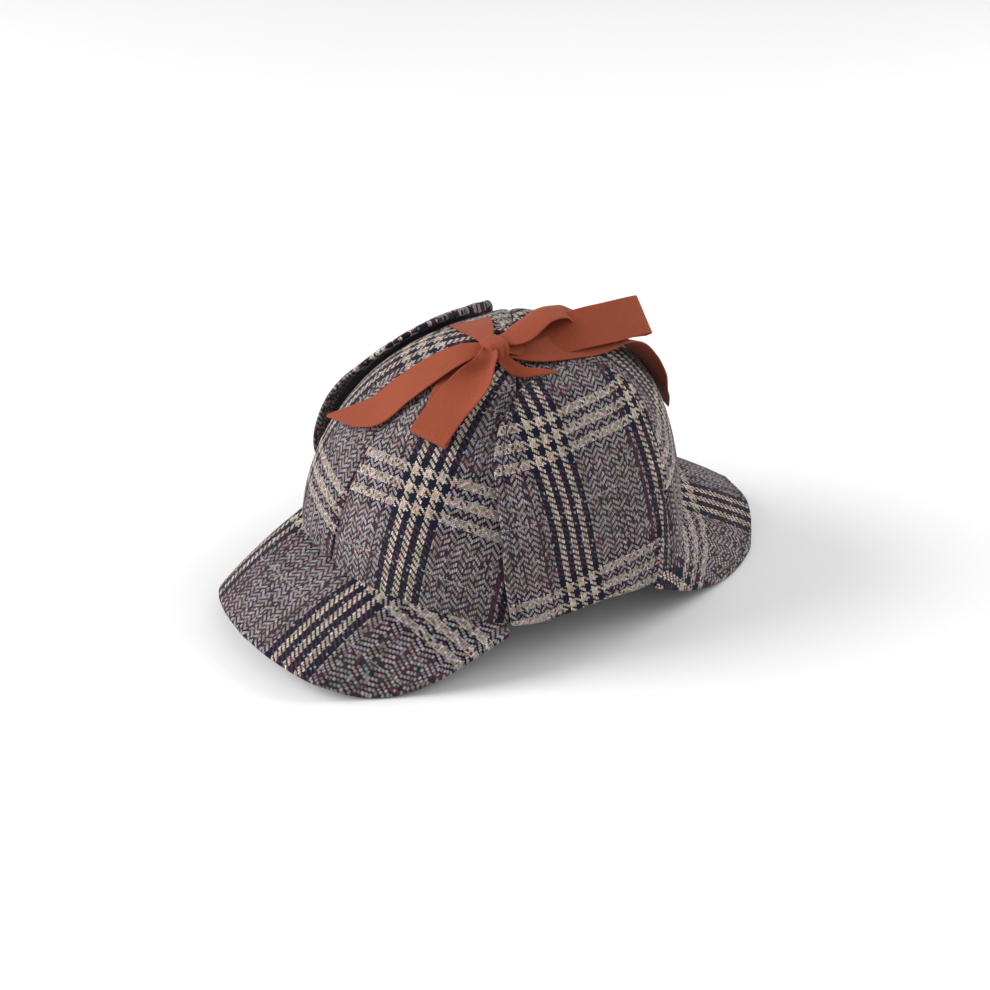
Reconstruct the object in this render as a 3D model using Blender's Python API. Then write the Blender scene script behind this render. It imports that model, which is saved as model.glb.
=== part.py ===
"""Deerstalker hat: a six-panel cloth crown, a peak at the front and at the rear,
two ear flaps folded up over the sides, and a ribbon tied in a bow on the top.

Metres, +Z up. The front peak points to -Y and the wearer's left is +X. The hat stands on a
level surface at z = 0, on the side corners of its two peaks, and the head hollow is open below.
"""
from math import cos, degrees, pi, radians, sin

import bmesh
import bpy
from mathutils import Vector

MM = 0.001

# ---- driving dimensions (metres) ------------------------------------------------
CROWN_TOP = 0.1345          # height of the crown's apex
APEX_SHIFT = 0.0075         # the apex sits this far behind the middle of the rim
SIDE_FULLNESS = 2.40        # superellipse powers of the dome: how upright the sides are
TOP_FULLNESS = 1.80         # and how flat the top is
CROWN_WALL = 0.0022         # cloth and backing of a crown panel
PANEL_COUNT = 6
PANEL_PUFF = 0.0010         # how far a panel swells between its two seams
APEX_HOLE = 0.0022          # radius at which the panels' tips stop
GAP = 0.0003                # clearance between sewn pieces
SEAT_GAP = 0.0005           # clearance of a curved piece that is seated on the crown
PEAK_WALL = 0.0032          # stiffener with cloth on both sides
PRESSED = 0.0034            # a peak's underside this near the surface is pressed flat on it
FLAP_WALL = 0.0030          # two layers of cloth
RIBBON_WALL = 0.0009

# The rim where the crown meets the peaks, for one side: the hat is the same on the other.
# angle from the front (degrees), radius, height of the rim
RIM = (
    (0.0, 0.0955, 0.0380),
    (30.0, 0.0975, 0.0390),
    (60.0, 0.0890, 0.0275),
    (90.0, 0.0825, 0.0290),
    (120.0, 0.0925, 0.0305),
    (150.0, 0.0880, 0.0365),
    (180.0, 0.0950, 0.0410),
)

# Outer edge of a peak from its middle (share 0) to its side corner (share 1).
# share, distance to the side, distance forward (or back), height of the edge's top
FRONT_EDGE = (
    (0.00, 0.0000, 0.1450, 0.0150),
    (0.25, 0.0240, 0.1425, 0.0145),
    (0.50, 0.0478, 0.1338, 0.0112),
    (0.63, 0.0568, 0.1208, 0.0052),
    (0.70, 0.0615, 0.1120, 0.0027),
    (0.77, 0.0668, 0.1015, 0.0026),
    (0.88, 0.0755, 0.0800, 0.0095),
    (1.00, 0.0834, 0.0487, 0.0270),
)
REAR_EDGE = (
    (0.00, 0.0000, 0.1440, 0.0130),
    (0.25, 0.0250, 0.1390, 0.0110),
    (0.50, 0.0512, 0.1206, 0.0046),
    (0.57, 0.0570, 0.1127, 0.0032),
    (0.63, 0.0621, 0.1044, 0.0030),
    (0.69, 0.0667, 0.0947, 0.0031),
    (0.75, 0.0714, 0.0832, 0.0050),
    (0.87, 0.0812, 0.0590, 0.0141),
    (1.00, 0.0890, 0.0320, 0.0285),
)
FRONT_HALF_ANGLE = 60.0     # how far round the rim the front peak is sewn, each way
REAR_HALF_ANGLE = 67.0      # and the rear peak
EDGE_ROWS = 1.6             # above 1, a peak's rows of faces are narrower near its edge
FRONT_ARCH = 0.0030         # how far the front peak swells above a straight slope
REAR_ARCH = 0.0010          # and the rear peak

# The ear flaps, folded up against the crown's sides: a row for each level of a flap. The right
# one stands off the crown along its front edge.
# climb over the crown (degrees, 0 at the rim and 90 at the apex), angle of the front edge and
# of the rear edge (degrees from the hat's front), lift of the inner face off the crown at each
FLAP_LEFT = (
    (0.0, 60.6, 110.6, 0.0006, 0.0006),
    (14.0, 57.5, 112.5, 0.0012, 0.0012),
    (26.0, 55.5, 115.5, 0.0018, 0.0016),
    (36.0, 53.0, 119.0, 0.0018, 0.0018),
    (45.0, 51.0, 122.0, 0.0018, 0.0018),
    (54.0, 52.0, 125.0, 0.0016, 0.0016),
    (61.0, 57.5, 123.0, 0.0014, 0.0014),
    (65.5, 65.0, 118.5, 0.0012, 0.0012),
    (68.5, 84.0, 104.0, 0.0012, 0.0012),
)
FLAP_RIGHT = (
    (0.0, 60.6, 110.6, 0.0006, 0.0006),
    (8.0, 53.0, 111.5, 0.0065, 0.0020),
    (14.0, 49.0, 112.0, 0.0095, 0.0030),
    (26.0, 47.0, 114.0, 0.0105, 0.0040),
    (36.0, 46.0, 116.0, 0.0085, 0.0045),
    (45.0, 46.5, 116.0, 0.0050, 0.0040),
    (54.0, 49.0, 114.5, 0.0034, 0.0032),
    (61.0, 53.0, 112.5, 0.0028, 0.0028),
    (67.0, 60.0, 109.0, 0.0028, 0.0028),
    (71.5, 70.0, 105.0, 0.0030, 0.0030),
    (74.0, 84.0, 99.0, 0.0030, 0.0030),
)

# ---- the ribbon bow ---------------------------------------------------------------
KNOT_MIDDLE = (0.0190, -0.0155, 0.1370)
KNOT_LENGTH = 0.0105        # along the ribbon, front to back
KNOT_ACROSS = 0.0130
KNOT_DEEP = 0.0105

# Each strip's middle line (mm), the way its width points (degrees from the front, and below
# level), its width (mm), and how far its two halves curl (degrees, towards the strip's face).
# x, y, z, width turned, width dips, width, curl of the far half, curl of the near half
TAIL_FRONT = (
    (14.6, -21.4, 137.8, 58.0, 24.0, 6.0, 0.0, 0.0),
    (12.4, -30.0, 135.4, 60.0, 20.0, 13.0, 0.0, 0.0),
    (6.8, -41.5, 128.6, 66.0, 15.0, 18.0, 0.0, 0.0),
    (0.8, -53.0, 119.5, 68.0, 14.0, 20.0, 0.0, 0.0),
    (-6.8, -65.6, 107.8, 70.0, 12.0, 20.0, 0.0, 0.0),
    (-30.0, -79.0, 98.5, 70.0, 12.0, 1.5, 0.0, 0.0),
)
LOOP_FRONT = (
    (21.2, -21.7, 139.3, 105.0, 5.0, 7.0, -40.0, -40.0),
    (25.4, -29.6, 136.6, 108.0, 5.0, 17.0, -50.0, -40.0),
    (28.8, -38.2, 129.6, 112.0, 5.0, 20.0, -20.0, -10.0),
    (31.2, -49.4, 120.7, 114.0, 5.0, 20.0, 0.0, 0.0),
    (33.8, -60.2, 110.8, 113.0, 8.0, 20.0, 0.0, 0.0),
    (33.9, -60.8, 109.6, 113.0, 8.0, 20.0, 0.0, 0.0),
    (33.4, -60.1, 108.4, 113.0, 8.0, 20.0, 0.0, 0.0),
    (32.9, -58.6, 108.7, 113.0, 8.0, 19.0, 0.0, 0.0),
    (30.4, -48.2, 118.6, 114.0, 5.0, 16.0, 0.0, 0.0),
    (27.2, -37.8, 126.4, 112.0, 5.0, 14.0, 0.0, 0.0),
    (23.4, -29.6, 131.4, 106.0, 5.0, 11.0, 0.0, 0.0),
    (20.0, -21.7, 134.4, 100.0, 5.0, 7.0, 0.0, 0.0),
)
LOOP_REAR = (
    (16.4, -9.7, 140.4, 90.0, 0.0, 6.5, 0.0, 0.0),
    (13.5, 0.0, 145.0, 90.0, 3.0, 15.0, 0.0, 0.0),
    (13.0, 14.0, 146.4, 90.0, -4.0, 15.0, 0.0, 0.0),
    (12.6, 20.5, 145.0, 90.0, 15.0, 14.0, 0.0, 0.0),
    (13.6, 28.0, 141.4, 90.0, 33.0, 14.0, 0.0, 0.0),
    (17.5, 36.0, 139.6, 90.0, 46.0, 13.0, 0.0, 0.0),
    (21.3, 45.0, 136.6, 90.0, 49.0, 16.0, 0.0, 0.0),
    (20.8, 65.4, 134.2, 90.0, 46.0, 20.0, 0.0, 0.0),
    (22.0, 67.6, 135.3, 90.0, 46.0, 20.0, 0.0, 0.0),
    (23.0, 65.4, 136.4, 90.0, 46.0, 20.0, 0.0, 0.0),
    (24.4, 47.0, 137.6, 90.0, 50.0, 20.0, 0.0, 0.0),
    (25.6, 28.0, 138.8, 90.0, 50.0, 20.0, 0.0, 0.0),
    (27.7, 10.0, 138.7, 90.0, 46.0, 15.0, 0.0, 0.0),
    (25.6, -1.0, 139.4, 90.0, 44.0, 11.0, 0.0, 0.0),
    (23.0, -9.6, 137.6, 90.0, 42.0, 5.4, 0.0, 0.0),
)
TAIL_REAR = (
    (20.4, -9.3, 134.2, 90.0, 14.0, 7.0, 0.0, 0.0),
    (26.6, 3.0, 134.2, 90.0, 24.0, 13.0, 0.0, 0.0),
    (26.0, 18.0, 132.8, 90.0, 24.0, 17.0, 0.0, 0.0),
    (24.0, 34.0, 130.8, 90.0, 24.0, 19.0, 0.0, 0.0),
    (20.0, 49.0, 127.4, 86.0, 14.0, 20.0, 0.0, 0.0),
    (16.0, 62.5, 121.0, 66.0, -10.0, 20.0, 0.0, 0.0),
    (11.1, 75.0, 109.8, 58.0, -18.0, 20.0, 0.0, 0.0),
    (4.6, 87.8, 95.2, 54.0, -20.0, 20.0, 0.0, 0.0),
    (-0.2, 96.6, 78.8, 52.0, -22.0, 20.0, 0.0, 0.0),
)
TIE_RIGHT = (
    (-31.5, -2.5, 130.0, -23.0, 12.0, 20.0, 0.0, 0.0),
    (-14.5, -7.3, 134.6, -18.0, 5.0, 20.0, 0.0, 0.0),
    (-4.0, -10.0, 136.2, -8.0, 3.0, 15.0, 0.0, 0.0),
    (4.0, -12.5, 137.4, 4.0, 0.0, 11.0, 0.0, 0.0),
    (11.8, -14.8, 137.4, 10.0, 0.0, 7.0, 0.0, 0.0),
)
TIE_LEFT = (
    (26.1, -15.2, 134.4, 40.0, 40.0, 5.0, 0.0, 0.0),
    (31.0, -12.4, 131.2, 50.0, 44.0, 6.5, 0.0, 0.0),
    (35.0, -9.6, 130.2, 60.0, 42.0, 5.4, 0.0, 0.0),
    (39.5, -4.5, 130.8, 75.0, 36.0, 3.8, 0.0, 0.0),
    (44.0, 2.9, 130.8, 90.0, 36.0, 1.2, 0.0, 0.0),
)

# name of the strip, its rows, its segments along and across
STRIPS = (
    ("ribbon_tail_front", TAIL_FRONT, 16, 3),
    ("ribbon_loop_front", LOOP_FRONT, 36, 4),
    ("ribbon_loop_rear", LOOP_REAR, 40, 3),
    ("ribbon_tail_rear", TAIL_REAR, 22, 3),
    ("ribbon_tie_right", TIE_RIGHT, 8, 3),
    ("ribbon_tie_left", TIE_LEFT, 8, 3),
)

CLOTH = ("plaid_wool", (0.36, 0.33, 0.33, 1.0), 0.9)
RIBBON = ("rust_ribbon", (0.47, 0.10, 0.04, 1.0), 0.65)


# ---- reading the tables ---------------------------------------------------------
def smooth_read(rows, at, column, mirrored=False):
    """Value of a table's column at a place along its first column, on a smooth curve.

    A mirrored table goes on past both ends as its own mirror image.
    """
    places = [row[0] for row in rows]
    values = [row[column] for row in rows]
    last = len(rows) - 1
    at = min(max(at, places[0]), places[last])
    i = max(k for k in range(last) if places[k] <= at)

    def slope(k):
        if k in (0, last):
            if mirrored:
                return 0.0
            near = 1 if k == 0 else last - 1
            return (values[near] - values[k]) / (places[near] - places[k])
        return (values[k + 1] - values[k - 1]) / (places[k + 1] - places[k - 1])

    span = places[i + 1] - places[i]
    t = (at - places[i]) / span
    return (values[i] * (2 * t**3 - 3 * t**2 + 1) + values[i + 1] * (3 * t**2 - 2 * t**3)
            + span * (slope(i) * (t**3 - 2 * t**2 + t) + slope(i + 1) * (t**3 - t**2)))


# ---- the crown's surface --------------------------------------------------------
def rim_angle(angle):
    """The same place on the modelled side of the rim."""
    angle = abs((angle + 180.0) % 360.0 - 180.0)
    return angle


def rim_radius(angle):
    return smooth_read(RIM, rim_angle(angle), 1, mirrored=True)


def rim_height(angle):
    return smooth_read(RIM, rim_angle(angle), 2, mirrored=True)


def bare_crown(angle, climb):
    """Point of the dome, angle degrees from the front and climb degrees up from the rim."""
    turn = radians(angle)
    rise = radians(min(max(climb, 0.0), 89.9))
    reach = cos(rise) ** (2 / SIDE_FULLNESS)
    ascent = sin(rise) ** (2 / TOP_FULLNESS)
    across_panel = abs(sin(turn * PANEL_COUNT / 2)) ** 0.8
    radius = rim_radius(angle) * reach + PANEL_PUFF * across_panel * min(1.0, 4 * reach)
    low = rim_height(angle)
    return Vector((
        radius * sin(turn),
        -radius * cos(turn) + APEX_SHIFT * ascent,
        low + (CROWN_TOP - low) * ascent,
    ))


def crown_point(angle, climb, lift=0.0):
    """Point at a height above the dome, measured square to the dome."""
    step = 0.5
    climb = min(max(climb, 0.0), 89.5 - step)
    round_it = bare_crown(angle + step, climb) - bare_crown(angle - step, climb)
    up_it = bare_crown(angle, climb + step) - bare_crown(angle, max(climb - step, 0.0))
    outward = round_it.cross(up_it).normalized()
    return bare_crown(angle, climb) + outward * lift


# ---- making the pieces ----------------------------------------------------------
def clear_scene():
    for item in list(bpy.data.objects):
        bpy.data.objects.remove(item, do_unlink=True)


def material(look):
    name, colour, roughness = look
    made = bpy.data.materials.get(name) or bpy.data.materials.new(name)
    made.use_nodes = True
    shader = made.node_tree.nodes["Principled BSDF"]
    shader.inputs["Base Color"].default_value = colour
    shader.inputs["Roughness"].default_value = roughness
    made.diffuse_color = colour
    return made


def add_piece(name, mesh, look, collection):
    mesh.materials.append(material(look))
    piece = bpy.data.objects.new(name, mesh)
    collection.objects.link(piece)
    return piece


def cloth_piece(name, face, back, segments, look, collection):
    """A closed sheet from a grid: its face and back are points of two shared coordinates,

    each from 0 to 1, and its edges join the two.
    """
    along, across = segments
    mesh = bpy.data.meshes.new(name)
    shape = bmesh.new()
    bmesh.ops.create_grid(shape, x_segments=along, y_segments=across, size=0.5)
    back_corners = list(shape.verts)
    drawn = bmesh.ops.extrude_face_region(shape, geom=list(shape.faces))
    face_corners = [item for item in drawn["geom"] if isinstance(item, bmesh.types.BMVert)]
    for corners, surface in ((back_corners, back), (face_corners, face)):
        for corner in corners:
            corner.co = surface(corner.co.x + 0.5, corner.co.y + 0.5)
    bmesh.ops.recalc_face_normals(shape, faces=list(shape.faces))
    if shape.calc_volume(signed=True) < 0.0:
        bmesh.ops.reverse_faces(shape, faces=list(shape.faces))
    shape.to_mesh(mesh)
    shape.free()
    mesh.shade_smooth()
    mesh.set_sharp_from_angle(angle=radians(40.0))
    return add_piece(name, mesh, look, collection)


def square_to(surface, u, v, step=0.01):
    """The way a surface of two shared coordinates faces, upwards or outwards."""
    low_u, high_u = max(u - step, 0.0), min(u + step, 1.0)
    low_v, high_v = max(v - step, 0.0), min(v + step, 1.0)
    along = surface(high_u, v) - surface(low_u, v)
    across = surface(u, high_v) - surface(u, low_v)
    return along.cross(across).normalized()


def build_crown_panels(collection):
    width = 360.0 / PANEL_COUNT
    for number in range(PANEL_COUNT):
        first_seam = number * width

        def panel(u, v, lift, first_seam=first_seam):
            climb = 90.0 * v * (1.0 - APEX_HOLE)
            low = crown_point(first_seam + width * u, climb, lift)
            radius = max(Vector((low.x, low.y - APEX_SHIFT)).length, APEX_HOLE)
            # each edge stands half a gap inside its seam, so it moves in by a small angle
            trim = degrees(GAP * 0.75 / radius)
            angle = first_seam + trim + (width - 2 * trim) * u
            return crown_point(angle, climb, lift)

        cloth_piece(
            f"crown_panel_{number + 1}",
            lambda u, v, panel=panel: panel(u, v, 0.0),
            lambda u, v, panel=panel: panel(u, v, -CROWN_WALL),
            (10, 11), CLOTH, collection)


def build_peak(name, edge, half_angle, swell, side, collection):
    """A peak sewn to the rim, which points to side: -1 is the front and +1 the rear."""
    middle = 0.0 if side < 0 else 180.0

    def face(u, v):
        v = 1.0 - (1.0 - v) ** EDGE_ROWS
        share = 2.0 * u - 1.0
        angle = middle - side * half_angle * share
        inner = crown_point(angle, 0.0, SEAT_GAP)
        inner.z = rim_height(angle) + MM
        reach_out = smooth_read(edge, abs(share), 2)
        reach_side = smooth_read(edge, abs(share), 1) * (1.0 if share > 0 else -1.0)
        outer = Vector((reach_side, side * reach_out, smooth_read(edge, abs(share), 3)))
        arch = swell * 4.0 * v * (1.0 - v) * (1.0 - share**4)
        return inner.lerp(outer, v) + Vector((0.0, 0.0, arch))

    def back(u, v):
        faces = square_to(face, u, v)
        if faces.z < 0:
            faces.negate()
        # the wall is upright where it is sewn to the rim and at its outer edge
        clear_of_ends = min(v / 0.15, 0.3 + (1.0 - v) / 0.20, 1.0)
        down = Vector((0.0, 0.0, -1.0)).lerp(-faces, clear_of_ends)
        point = face(u, v) + down * PEAK_WALL
        if point.z < PRESSED:
            point.z = 0.0
        return point

    cloth_piece(name, face, back, (32, 8), CLOTH, collection)


def build_flap(name, rows, side, collection):
    """An ear flap lying over the crown's left (side +1) or right (side -1)."""
    top = rows[-1][0]

    def flap(u, v, lift):
        climb = top * sin(radians(90.0 * v))
        front, rear, front_lift, rear_lift = [smooth_read(rows, climb, n) for n in range(1, 5)]
        angle = side * (front + (rear - front) * u)
        return crown_point(angle, climb, front_lift + (rear_lift - front_lift) * u + lift)

    cloth_piece(
        name,
        lambda u, v: flap(u, v, FLAP_WALL),
        lambda u, v: flap(u, v, 0.0),
        (12, 14), CLOTH, collection)


def build_strip(name, rows, segments, collection):
    """A strip of ribbon through its rows, read on a smooth curve by the length so far."""
    lengths = [0.0]
    for before, after in zip(rows, rows[1:]):
        lengths.append(lengths[-1] + (Vector(after[:3]) - Vector(before[:3])).length)
    placed = [(length,) + row for length, row in zip(lengths, rows)]
    last = len(rows) - 1

    def place(t):
        number = min(int(t), last - 1)
        return lengths[number] + (lengths[number + 1] - lengths[number]) * (t - number)

    def middle(at):
        return Vector([smooth_read(placed, at, column) for column in (1, 2, 3)]) * MM

    def strip(u, v, lift):
        at = place(u * last)
        turned, dips, width, curl_far, curl_near = [
            smooth_read(placed, at, column) for column in range(4, 9)]
        along = (middle(at + 0.2) - middle(at - 0.2)).normalized()
        across = Vector((
            cos(radians(dips)) * sin(radians(turned)),
            -cos(radians(dips)) * cos(radians(turned)),
            -sin(radians(dips)),
        ))
        across = (across - along * across.dot(along)).normalized()
        faces = across.cross(along)
        share = 2.0 * v - 1.0
        curl = radians(curl_near if share > 0 else curl_far) * share
        reach = width * MM / 2.0 * share
        flat = sin(curl) / curl if curl else 1.0
        rise = (1.0 - cos(curl)) / curl if curl else 0.0
        square = faces * cos(curl) - across * sin(curl)
        return middle(at) + across * reach * flat + faces * reach * rise + square * lift

    cloth_piece(
        name,
        lambda u, v: strip(u, v, RIBBON_WALL / 2.0),
        lambda u, v: strip(u, v, -RIBBON_WALL / 2.0),
        segments, RIBBON, collection)


def build_knot(collection):
    """The knot: one turn of ribbon round the others, a barrel lying front to back."""
    bpy.ops.mesh.primitive_uv_sphere_add(segments=20, ring_count=10, radius=0.5,
                                         rotation=(pi / 2.0, 0.0, 0.0))
    ball = bpy.context.object
    ball.data.transform(ball.matrix_world)
    mesh = ball.data.copy()
    bpy.data.objects.remove(ball, do_unlink=True)
    for corner in mesh.vertices:
        # a ball with its two ends pressed flat is a barrel
        end = max(-0.36, min(0.36, corner.co.y)) / 0.72
        corner.co = Vector((corner.co.x * KNOT_ACROSS, end * KNOT_LENGTH,
                            corner.co.z * KNOT_DEEP)) + Vector(KNOT_MIDDLE)
    mesh.shade_smooth()
    mesh.set_sharp_from_angle(angle=radians(40.0))
    add_piece("ribbon_knot", mesh, RIBBON, collection)


def main():
    clear_scene()
    hat = bpy.data.collections.new("deerstalker_hat")
    bpy.context.scene.collection.children.link(hat)
    build_crown_panels(hat)
    build_peak("front_peak", FRONT_EDGE, FRONT_HALF_ANGLE, FRONT_ARCH, -1.0, hat)
    build_peak("rear_peak", REAR_EDGE, REAR_HALF_ANGLE, REAR_ARCH, 1.0, hat)
    build_flap("ear_flap_left", FLAP_LEFT, 1.0, hat)
    build_flap("ear_flap_right", FLAP_RIGHT, -1.0, hat)
    for name, rows, along, across in STRIPS:
        build_strip(name, rows, (along, across), hat)
    build_knot(hat)


main()
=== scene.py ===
"""Deerstalker hat in glen plaid wool, its ear flaps tied up over the crown with a ribbon bow.

Metres, +Z up. The front peak points to -Y and the wearer's left is +X. Each operator makes one
piece, or one group of like pieces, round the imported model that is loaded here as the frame.
"""

from functools import partial
from math import copysign, cos, degrees, exp, pi, radians, sin, sqrt

import bmesh
import bpy
from bpy.props import FloatProperty, FloatVectorProperty, IntProperty, PointerProperty
from mathutils import Matrix, Vector, noise


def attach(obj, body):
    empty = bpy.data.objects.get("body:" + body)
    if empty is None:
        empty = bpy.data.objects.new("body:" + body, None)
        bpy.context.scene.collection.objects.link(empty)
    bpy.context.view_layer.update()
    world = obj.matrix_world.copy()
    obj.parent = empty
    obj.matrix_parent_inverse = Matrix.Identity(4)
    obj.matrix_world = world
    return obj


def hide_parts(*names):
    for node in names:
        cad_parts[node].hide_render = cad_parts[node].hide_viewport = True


bl_info = {
    "name": "Deerstalker Hat",
    "version": (1, 0, 0),
    "blender": (4, 5, 0),
    "location": "3D View > Sidebar > Hat",
    "description": "Makes a plaid wool deerstalker hat with its ear flaps tied up by a ribbon",
    "category": "Add Mesh",
}

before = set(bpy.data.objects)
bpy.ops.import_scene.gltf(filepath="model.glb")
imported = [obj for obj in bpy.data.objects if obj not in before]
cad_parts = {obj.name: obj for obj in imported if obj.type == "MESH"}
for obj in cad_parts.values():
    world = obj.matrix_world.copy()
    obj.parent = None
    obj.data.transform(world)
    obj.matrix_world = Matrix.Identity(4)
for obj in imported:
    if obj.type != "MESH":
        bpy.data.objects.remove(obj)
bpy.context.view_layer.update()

MM = 0.001

# ---- the hat's driving dimensions, as in its construction (metres)
CROWN_TOP = 0.1345
APEX_SHIFT = 0.0075         # how far the top of the crown is behind the hat's middle
SIDE_FULLNESS = 2.40        # 2 is a plain ellipse, and more is squarer
TOP_FULLNESS = 1.80
CROWN_WALL = 0.0022
PANEL_COUNT = 6
PANEL_PUFF = 0.0010         # how far a panel bulges between its seams
APEX_HOLE = 0.0022
SEAM_GAP = 0.0003
SEWN_IN = 0.0011            # how far a peak's sewn edge runs into the crown's cloth
PEAK_WALL = 0.0032
PRESSED = 0.0034            # below this the peaks' under sides are pressed flat on the floor
FLAP_WALL = 0.0030
RIBBON_WALL = 0.0009
FRONT_HALF_ANGLE = 60.0     # how far round to each side a peak is sewn (degrees)
REAR_HALF_ANGLE = 67.0
FRONT_ARCH = 0.0030         # how far a peak swells between its two edges
REAR_ARCH = 0.0010

# angle from the front (degrees), radius and height of the rim (mm)
RIM = (
    (0, 95.5, 38),
    (30, 97.5, 39),
    (60, 89, 27.5),
    (90, 82.5, 29),
    (120, 92.5, 30.5),
    (150, 88, 36.5),
    (180, 95, 41),
)

# share of the way to the side corner, then how far the edge is to the side, how far out to the
# front or rear, and how high (mm)
FRONT_EDGE = (
    (0, 0, 145, 15),
    (0.25, 24, 142.5, 14.5),
    (0.5, 47.8, 133.8, 11.2),
    (0.63, 56.8, 120.8, 5.2),
    (0.7, 61.5, 112, 2.7),
    (0.77, 66.8, 101.5, 2.6),
    (0.88, 75.5, 80, 9.5),
    (1, 83.4, 48.7, 27),
)
REAR_EDGE = (
    (0, 0, 144, 13),
    (0.25, 25, 139, 11),
    (0.5, 51.2, 120.6, 4.6),
    (0.57, 57, 112.7, 3.2),
    (0.63, 62.1, 104.4, 3),
    (0.69, 66.7, 94.7, 3.1),
    (0.75, 71.4, 83.2, 5),
    (0.87, 81.2, 59, 14.1),
    (1, 89, 32, 28.5),
)

# climb over the crown (degrees), angle of the front edge and of the rear edge (degrees from the
# hat's front), lift of the inner face off the crown at each (mm)
FLAP_LEFT = (
    (0, 60.6, 110.6, 0.6, 0.6),
    (14, 57.5, 112.5, 1.2, 1.2),
    (26, 55.5, 115.5, 1.8, 1.6),
    (36, 53, 119, 1.8, 1.8),
    (45, 51, 122, 1.8, 1.8),
    (54, 52, 125, 1.6, 1.6),
    (61, 57.5, 123, 1.4, 1.4),
    (65.5, 65, 118.5, 1.2, 1.2),
    (68.5, 84, 104, 1.2, 1.2),
)
FLAP_RIGHT = (
    (0, 60.6, 110.6, 0.6, 0.6),
    (8, 53, 111.5, 6.5, 2),
    (14, 49, 112, 9.5, 3),
    (26, 47, 114, 10.5, 4),
    (36, 46, 116, 8.5, 4.5),
    (45, 46.5, 116, 5, 4),
    (54, 49, 114.5, 3.4, 3.2),
    (61, 53, 112.5, 2.8, 2.8),
    (67, 60, 109, 2.8, 2.8),
    (71.5, 70, 105, 3, 3),
    (74, 84, 99, 3, 3),
)

KNOT_MIDDLE = (0.0190, -0.0155, 0.1370)
KNOT_LENGTH = 0.0105
KNOT_ACROSS = 0.0130
KNOT_DEEP = 0.0105

# Each ribbon's middle line (mm), the way its width points (degrees from the front, and below
# level), its width (mm), and how far its two halves curl, where they do (degrees, towards the
# ribbon's face).
TAIL_FRONT = (
    (16.2, -18.8, 137.6, 58, 24, 6),
    (12.4, -30, 135.4, 60, 20, 13),
    (6.8, -41.5, 128.6, 66, 15, 18),
    (0.8, -53, 119.5, 68, 14, 20),
    (-6.8, -65.6, 107.8, 70, 12, 20),
    (-30, -79, 98.5, 70, 12, 1.5),
)
LOOP_FRONT = (
    (20.8, -19.6, 138.8, 105, 5, 6.5, -40, -40),
    (28.6, -25.6, 136, 114, 5, 13.5, -85, -75),
    (31.8, -33.2, 130.4, 118, 5, 19.5, -50, -45),
    (31.8, -48.4, 120.7, 115, 5, 20),
    (33.8, -60.2, 110.8, 113, 8, 20),
    (33.9, -60.8, 109.6, 113, 8, 20),
    (33.4, -60.1, 108.4, 113, 8, 20),
    (32.9, -58.6, 108.7, 113, 8, 19),
    (28.6, -50, 117.4, 114, 2, 18),
    (21.6, -41.2, 124.4, 110, -4, 16.5, 10, 10),
    (18.6, -31.8, 129.6, 104, -4, 12, 10, 10),
    (19.6, -20.4, 134.4, 100, 5, 7),
)
LOOP_REAR = (
    (16.8, -11.2, 139.8, 90, 0, 6.5),
    (19.3, -4.1, 141.6, 84, 12, 15.5, -25, 0),
    (16.4, 4.7, 144.7, 79.2, 5.2, 19.9, -45, -10),
    (14.8, 12.1, 146.9, 74.6, 1.9, 19.8, -50, -10),
    (14.1, 19.4, 146.7, 66.4, 0.9, 18.9, -50, 0),
    (14.3, 26.1, 144.6, 61.2, -1.7, 16, -30, 0),
    (15.7, 32.7, 139.7, 60, 5, 13.5),
    (21.3, 45, 137.2, 90, 49, 17),
    (20.8, 65.4, 134.2, 90, 46, 20),
    (22, 67.6, 135.3, 90, 46, 20),
    (23, 65.4, 136.4, 90, 46, 20),
    (24.4, 47, 137.6, 90, 50, 20),
    (24.2, 29, 138.2, 87, 44, 20),
    (20.6, 13.4, 135.6, 76, 18, 20, 0, 25),
    (21.2, 0.4, 135.6, 77, 14, 14, 0, 40),
    (22, -11, 137, 84, 30, 5.4),
)
TAIL_REAR = (
    (20.4, -11, 134.6, 90, 14, 7),
    (26.6, 3, 134, 90, 24, 13),
    (26, 18, 132.6, 90, 24, 17),
    (24, 34, 130.8, 90, 24, 19),
    (22, 48, 128.6, 84, 6, 19),
    (22.8, 59.7, 123.4, 74.9, -29.2, 16.6),
    (19.6, 70.2, 113, 70.8, -36.3, 17.4),
    (15.8, 78.9, 101.6, 66, -36.6, 18.2),
    (8.5, 86.9, 88.5, 63, -35.3, 19.1),
    (-0.6, 95, 76, 64, -31, 18.6),
)
TIE_RIGHT = (
    (-22.7, -3, 131.7, -27.7, 8.1, 20),
    (-12.2, -6.2, 134, -26.5, 10, 16.6),
    (-3.5, -8.6, 135.2, -23.3, 12, 12.4),
    (5, -11.6, 136.2, -10, 10, 8.4),
    (14, -15, 137.2, 10, 0, 7),
)
TIE_LEFT = (
    (24.4, -15.6, 134.8, 40, 40, 5),
    (31, -12.4, 131.2, 50, 44, 6.5),
    (35, -9.6, 130.2, 60, 42, 5.4),
    (39.5, -4.5, 130.8, 75, 36, 3.8),
    (44, 2.9, 130.8, 90, 36, 1.2),
)

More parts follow.
